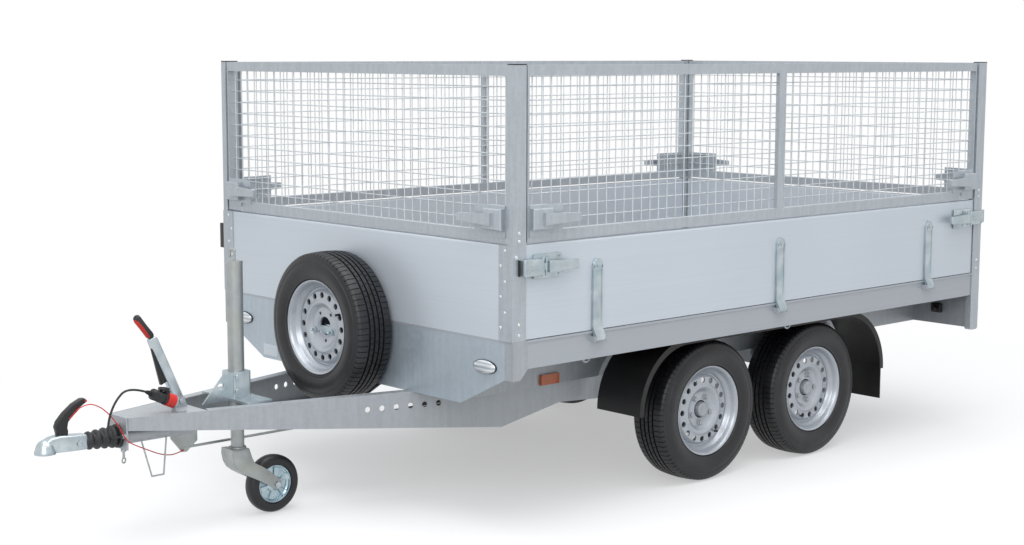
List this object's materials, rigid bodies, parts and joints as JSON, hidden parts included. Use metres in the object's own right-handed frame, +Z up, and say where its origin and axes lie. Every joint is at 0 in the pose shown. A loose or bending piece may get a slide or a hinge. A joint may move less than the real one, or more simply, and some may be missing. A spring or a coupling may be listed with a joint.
{
  "type": "utility trailer",
  "caption": "Tandem-axle drop-side utility trailer with mesh side extensions, braked drawbar, jockey wheel and spare wheel.",
  "frame": {"origin": "middle of the overall length and width, on the ground under the wheels", "axes": "+X to the tail, +Y to the right of the direction of travel, +Z up"},
  "size_m": [4.3493, 1.9006, 1.691],
  "materials": {
    "galvanised_steel": "hot-dip galvanised, mottled, matt",
    "zinc_plate": "bright zinc plate with a slight blue-green cast",
    "anodised_aluminium": "anodised aluminium profile, satin",
    "silver_paint": "silver wheel lacquer, satin",
    "tyre_rubber": "black tyre rubber",
    "black_plastic": "black moulded plastic and rubber, matt",
    "red_plastic": "red moulded plastic",
    "floor_plywood": "brown film-faced plywood",
    "lamp_red": "red lamp lens on a dark housing",
    "lamp_clear": "clear lamp lens",
    "reflector_orange": "orange reflector lens"
  },
  "bodies": {
    "chassis": {"drawbar_beams": "galvanised_steel", "chassis_members": "galvanised_steel", "cross_members": "galvanised_steel", "platform_rails": "anodised_aluminium", "floor": "floor_plywood", "headboard": "anodised_aluminium", "apron": "galvanised_steel", "corner_posts": "galvanised_steel", "post_caps": "black_plastic", "corner_castings": "galvanised_steel", "rear_valance": "galvanised_steel", "tail_lamps": "lamp_red", "front_lamps": "lamp_clear", "side_reflectors": "reflector_orange", "axle_front": "galvanised_steel", "axle_rear": "galvanised_steel", "mudguard_left": "black_plastic", "mudguard_right": "black_plastic", "overrun_housing": "galvanised_steel", "coupling_head": "zinc_plate", "coupling_lever": "black_plastic", "bellows": "black_plastic", "brake_linkage": "galvanised_steel", "jockey_clamp": "galvanised_steel", "jockey_outer_tube": "zinc_plate", "parking_socket": "red_plastic", "plug": "black_plastic", "lighting_cable": "black_plastic", "breakaway_cable": "red_plastic", "spare_bracket": "galvanised_steel", "spare_rim": "silver_paint", "spare_tyre": "tyre_rubber"},
    "handbrake": {"handbrake_lever": "galvanised_steel", "handbrake_grip": "black_plastic"},
    "jockey_leg": {"jockey_leg": "zinc_plate"},
    "jockey_fork": {"jockey_fork": "zinc_plate"},
    "jockey_wheel": {"jockey_rim": "zinc_plate", "jockey_tyre": "tyre_rubber"},
    "wheel_front_left": {"wheel_front_left": "silver_paint", "tyre_front_left": "tyre_rubber"},
    "wheel_front_right": {"wheel_front_right": "silver_paint", "tyre_front_right": "tyre_rubber"},
    "wheel_rear_left": {"wheel_rear_left": "silver_paint", "tyre_rear_left": "tyre_rubber"},
    "wheel_rear_right": {"wheel_rear_right": "silver_paint", "tyre_rear_right": "tyre_rubber"},
    "side_board_left": {"side_board_left": "anodised_aluminium", "side_board_left_fittings": "zinc_plate"},
    "side_board_right": {"side_board_right": "anodised_aluminium", "side_board_right_fittings": "zinc_plate"},
    "tailboard": {"tailboard": "anodised_aluminium", "tailboard_fittings": "zinc_plate"},
    "mesh_panel_left": {"mesh_frame_left": "galvanised_steel", "mesh_wires_left": "galvanised_steel"},
    "mesh_panel_right": {"mesh_frame_right": "galvanised_steel", "mesh_wires_right": "galvanised_steel"},
    "mesh_panel_front": {"mesh_frame_front": "galvanised_steel", "mesh_wires_front": "galvanised_steel"},
    "mesh_panel_rear": {"mesh_frame_rear": "galvanised_steel", "mesh_wires_rear": "galvanised_steel"}
  },
  "joints": [
    {"name": "handbrake_pull", "type": "hinge", "parent": "chassis", "child": "handbrake", "pos_m": [-1.613, 0, 0.484], "axis": [0, 1, 0], "range_deg": [-45, 20]},
    {"name": "jockey_crank", "type": "slide", "parent": "chassis", "child": "jockey_leg", "axis": [0, 0, 1], "range_m": [-0.08, 0.14]},
    {"name": "jockey_swivel", "type": "hinge", "parent": "jockey_leg", "child": "jockey_fork", "pos_m": [-1.365, 0, 0.26], "axis": [0, 0, 1], "continuous": true},
    {"name": "jockey_roll", "type": "hinge", "parent": "jockey_fork", "child": "jockey_wheel", "pos_m": [-1.215, 0, 0.11], "axis": [0, 1, 0], "continuous": true},
    {"name": "wheel_roll_front_left", "type": "hinge", "parent": "chassis", "child": "wheel_front_left", "pos_m": [0.372, -0.72, 0.29], "axis": [0, 1, 0], "continuous": true},
    {"name": "wheel_roll_front_right", "type": "hinge", "parent": "chassis", "child": "wheel_front_right", "pos_m": [0.372, 0.72, 0.29], "axis": [0, 1, 0], "continuous": true},
    {"name": "wheel_roll_rear_left", "type": "hinge", "parent": "chassis", "child": "wheel_rear_left", "pos_m": [1.057, -0.72, 0.29], "axis": [0, 1, 0], "continuous": true},
    {"name": "wheel_roll_rear_right", "type": "hinge", "parent": "chassis", "child": "wheel_rear_right", "pos_m": [1.057, 0.72, 0.29], "axis": [0, 1, 0], "continuous": true},
    {"name": "side_board_left_drop", "type": "hinge", "parent": "chassis", "child": "side_board_left", "pos_m": [0.66, -0.926, 0.69], "axis": [1, 0, 0], "range_deg": [0, 175]},
    {"name": "side_board_right_drop", "type": "hinge", "parent": "chassis", "child": "side_board_right", "pos_m": [0.66, 0.926, 0.69], "axis": [-1, 0, 0], "range_deg": [0, 175]},
    {"name": "tailboard_drop", "type": "hinge", "parent": "chassis", "child": "tailboard", "pos_m": [2.148, 0, 0.69], "axis": [0, 1, 0], "range_deg": [0, 175]},
    {"name": "mesh_left_swing", "type": "hinge", "parent": "chassis", "child": "mesh_panel_left", "pos_m": [0.66, -0.893, 1.644], "axis": [-1, 0, 0], "range_deg": [0, 90]},
    {"name": "mesh_right_swing", "type": "hinge", "parent": "chassis", "child": "mesh_panel_right", "pos_m": [0.66, 0.893, 1.644], "axis": [1, 0, 0], "range_deg": [0, 90]},
    {"name": "mesh_front_swing", "type": "hinge", "parent": "chassis", "child": "mesh_panel_front", "pos_m": [-0.795, 0, 1.644], "axis": [0, 1, 0], "range_deg": [0, 90]},
    {"name": "mesh_rear_swing", "type": "hinge", "parent": "chassis", "child": "mesh_panel_rear", "pos_m": [2.115, 0, 1.644], "axis": [0, -1, 0], "range_deg": [0, 90]}
  ]
}
